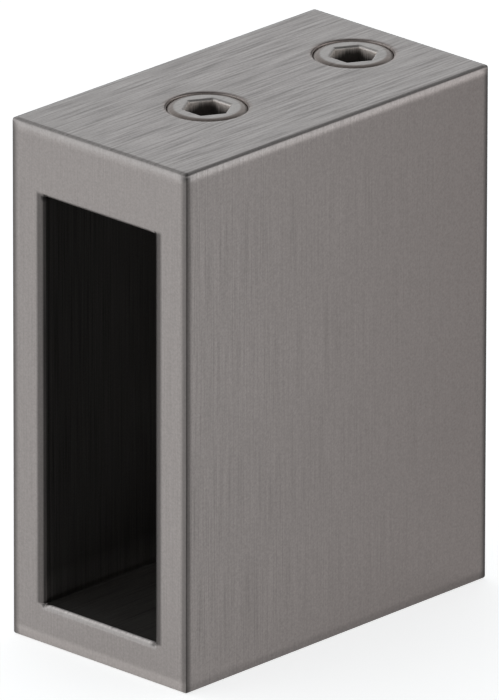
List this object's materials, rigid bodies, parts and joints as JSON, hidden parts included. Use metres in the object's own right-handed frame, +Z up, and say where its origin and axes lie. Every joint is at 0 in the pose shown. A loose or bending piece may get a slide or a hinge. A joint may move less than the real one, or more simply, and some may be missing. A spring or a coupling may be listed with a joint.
{
  "type": "shower screen rail bracket",
  "caption": "Rectangular metal wall bracket with a socket for the end of a flat shower screen rail, held by grub screws in its top, over a hidden wall anchor.",
  "frame": {"origin": "where the rail's axis meets the wall: the middle of the socket's opening, in the plane of the back", "axes": "+Y into the wall, -Y along the rail and out of the socket's mouth, +Z up through the screws, +X across"},
  "size_m": [0.017, 0.031, 0.039],
  "materials": {
    "brushed_body": "straight brushed, satin, warm grey",
    "anchor_metal": "plain milled",
    "screw_steel": "turned, satin, warm grey"
  },
  "bodies": {
    "bracket": {"bracket_body": "brushed_body", "wall_anchor": "anchor_metal"},
    "rail_screw": {"rail_clamp_screw": "screw_steel"},
    "anchor_screw": {"anchor_clamp_screw": "screw_steel"}
  },
  "joints": [
    {"name": "rail_screw_travel", "type": "slide", "parent": "bracket", "child": "rail_screw", "axis": [0, 0, 1], "range_m": [-0.001, 0.003]},
    {"name": "anchor_screw_travel", "type": "slide", "parent": "bracket", "child": "anchor_screw", "axis": [0, 0, 1], "range_m": [0, 0.003]}
  ]
}
